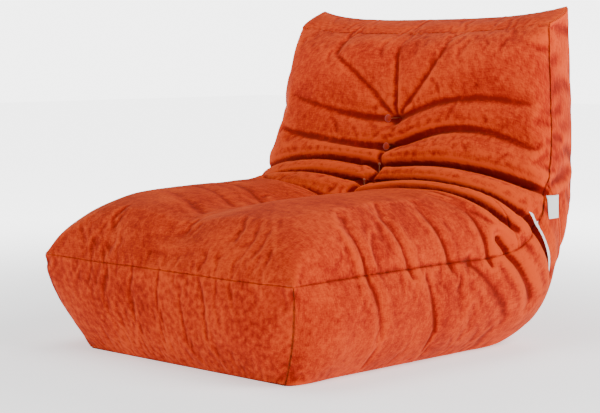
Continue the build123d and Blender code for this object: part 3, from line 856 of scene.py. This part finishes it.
zip_half, tape_wide, tape_out, coil_gap, coil_wide, coil_high = 0.320, 0.015, -0.0021, 0.0009, 0.0022, 0.0024
tooth_pitch = 0.0025
zip_tape = loose_weave("zip_tape_weave", (0.46, 0.055, 0.012, 1), 1400, 0.0004)
coil_nylon = mottled("zip_coil_nylon", (0.42, 0.05, 0.012, 1), 0.4, 0.0, 900)
for side, up in (("upper", 1), ("lower", -1)):
    tape = bmesh.new()
    bmesh.ops.create_grid(tape, x_segments=120, y_segments=8, size=0.5)
    for vert in tape.verts:
        share = vert.co.y + 0.5
        cord = 0.0003 * math.exp(-((share / 0.12) ** 2))
        rise = up * (coil_gap + tape_wide * share)
        vert.co = on_zip(2 * vert.co.x * (zip_half + 0.003), rise, tape_out + cord)
    bmesh.ops.recalc_face_normals(tape, faces=tape.faces)
    if tape.faces[0].normal.dot(Vector(wall_out)) < 0:
        bmesh.ops.reverse_faces(tape, faces=tape.faces)
    bmesh.ops.solidify(tape, geom=tape.faces[:], thickness=0.0007)
    piece = placed("zip_tape_" + side + "_weave", tape, zip_tape)
    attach(piece, "cover_and_fill")
    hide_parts("zip_tape_" + side)

    coil = bmesh.new()
    ring = bmesh.ops.create_circle(coil, segments=5, radius=0.00045)["verts"]
    bmesh.ops.translate(coil, verts=ring, vec=(0.00075, 0, 0))
    bmesh.ops.rotate(coil, verts=ring, cent=(0, 0, 0), matrix=Matrix.Rotation(math.pi / 2, 3, "X"))
    bmesh.ops.spin(coil, geom=coil.verts[:] + coil.edges[:], cent=(0, 0, 0), axis=(0, 0, 1), angle=math.tau,
                   steps=10, use_merge=True)
    bmesh.ops.recalc_face_normals(coil, faces=coil.faces)
    tooth = coil.verts[:] + coil.edges[:] + coil.faces[:]
    shift = 0 if up > 0 else tooth_pitch / 2
    first = -zip_half + 0.001 + shift
    for vert in coil.verts:
        flat = vert.co.copy()
        vert.co = on_zip(first + flat.z, up * (coil_gap + coil_wide / 2 + flat.x * coil_wide / 0.0024),
                         tape_out + coil_high / 2 + flat.y * coil_high / 0.0024)
    teeth = int((2 * zip_half - 0.002 - shift) / tooth_pitch)
    for k in range(1, teeth + 1):
        copy = bmesh.ops.duplicate(coil, geom=tooth)["geom"]
        bmesh.ops.translate(coil, verts=[part for part in copy if isinstance(part, bmesh.types.BMVert)],
                            vec=(k * tooth_pitch, 0, 0))
    piece = placed("zip_coil_" + side + "_teeth", coil, coil_nylon)
    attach(piece, "cover_and_fill")
    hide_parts("zip_coil_" + side)

# A blank woven tab, folded double, is sewn into the right-hand side seam at the crook and lies against
# the fold below. A blank care label is sewn to the zip tape inside the bag.
label_weave = Finish("label_satin", {"Roughness": 0.5, "Sheen Weight": 0.2})
label_place = label_weave.node("ShaderNodeTexCoord", {}, {}, "Object")
satin = label_weave.noise(label_place, (1, 1, 0.2), 1500, 2)
label_white = label_weave.mix(satin, (0.66, 0.66, 0.64, 1), (0.84, 0.84, 0.82, 1))
label_weave.surface(label_white, None, satin, 0.0002, 0.5)
label_low, label_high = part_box("side_label")
tab = bmesh.new()
bmesh.ops.create_grid(tab, x_segments=10, y_segments=14, size=0.5)
reach = []
for vert in tab.verts:
    y = label_low[1] + (label_high[1] - label_low[1]) * (vert.co.x + 0.5) - 0.008
    z = label_low[2] + (label_high[2] - label_low[2]) * (vert.co.y + 0.5) - 0.008
    found = cover_tree.ray_cast(Vector((0.6, y, z)), Vector((-1, 0, 0)))[0]
    reach.append(found.x)
    vert.co = (0, y, z)
proud = sorted(reach)[len(reach) * 9 // 10] + 0.0012
for vert, skin_x in zip(tab.verts, reach):
    sag = 0.5 * (1 - (vert.co.y - label_low[1]) / (label_high[1] - label_low[1]))
    vert.co.x = max(skin_x + 0.0012, proud * (1 - sag) + (skin_x + 0.0015) * sag)
bmesh.ops.smooth_vert(tab, verts=tab.verts, factor=0.5, use_axis_x=True, use_axis_y=False, use_axis_z=False)
if tab.faces[:][0].normal.x < 0:
    bmesh.ops.reverse_faces(tab, faces=tab.faces)
bmesh.ops.solidify(tab, geom=tab.faces[:], thickness=0.001)
for face in tab.faces:
    face.smooth = True
tab_piece = placed("side_tab", tab, label_weave.material)
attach(tab_piece, "cover_and_fill")
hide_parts("side_label")

care_width, care_height = 0.055, 0.038
care = bmesh.new()
bmesh.ops.create_grid(care, x_segments=8, y_segments=6, size=0.5)
for vert in care.verts:
    rise = 0.0165 + care_height * (vert.co.y + 0.5)
    bow = 0.0006 * math.sin(math.pi * (vert.co.x + 0.5))
    vert.co = on_zip(-0.2 + care_width * vert.co.x, rise, -0.0029 - bow)
piece = placed("care_label_sheet", care, label_weave.material)
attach(piece, "cover_and_fill")
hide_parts("care_label")

# The studio: a plain pale floor, four soft lamps round the chair, and a backdrop that is paler where
# it is seen than the light it gives. The floor glows a little more the further it is from the chair.
bpy.ops.mesh.primitive_plane_add(size=30)
floor = bpy.context.object
floor.name = "floor"
floor_finish = Finish("studio_floor", {"Base Color": (0.95, 0.95, 0.95, 1), "Roughness": 0.7,
                                       "Specular IOR Level": 0.1, "Emission Strength": 4.0})
floor_place = floor_finish.node("ShaderNodeTexCoord", {}, {}, "Object")
away = floor_finish.node("ShaderNodeVectorMath", {"operation": "LENGTH"}, {0: floor_place}, "Value")
lit = floor_finish.mix(floor_finish.ramp(away, 0.7, 3.2), (0.22, 0.22, 0.22, 1), (1, 1, 1, 1))
floor_finish.link(lit, floor_finish.shader.inputs["Emission Color"])
floor.data.materials.append(floor_finish.material)


def lamp(name, place, aim, power, size):
    light = bpy.data.lights.new(name, "AREA")
    light.energy, light.size = power, size
    holder = bpy.data.objects.new(name, light)
    bpy.context.scene.collection.objects.link(holder)
    holder.location = place
    holder.rotation_euler = (Vector(aim) - holder.location).to_track_quat("-Z", "Y").to_euler()


lamp("key_lamp", (2.9, 0.5, 2.4), (0, 0, 0.3), 88, 1.4)
lamp("top_lamp", (-0.3, -0.6, 3.2), (0, -0.1, 0.3), 52, 2.0)
lamp("left_lamp", (-2.6, -2.2, 2.0), (0, 0, 0.2), 14, 1.8)
lamp("rear_lamp", (-0.5, 2.8, 2.2), (0, 0.3, 0.5), 32, 1.6)
world = bpy.data.worlds.new("studio")
bpy.context.scene.world = world
world.use_nodes = True
world.node_tree.nodes["Background"].inputs["Color"].default_value = (1, 1, 1, 1)
backdrop = world.node_tree.nodes["Background"]
backdrop.inputs["Strength"].default_value = 0.30
seen = world.node_tree.nodes.new("ShaderNodeBackground")
seen.inputs["Strength"].default_value = 6.0
path = world.node_tree.nodes.new("ShaderNodeLightPath")
choice = world.node_tree.nodes.new("ShaderNodeMixShader")
world.node_tree.links.new(path.outputs["Is Camera Ray"], choice.inputs[0])
world.node_tree.links.new(backdrop.outputs[0], choice.inputs[1])
world.node_tree.links.new(seen.outputs[0], choice.inputs[2])
world.node_tree.links.new(choice.outputs[0], world.node_tree.nodes["World Output"].inputs["Surface"])
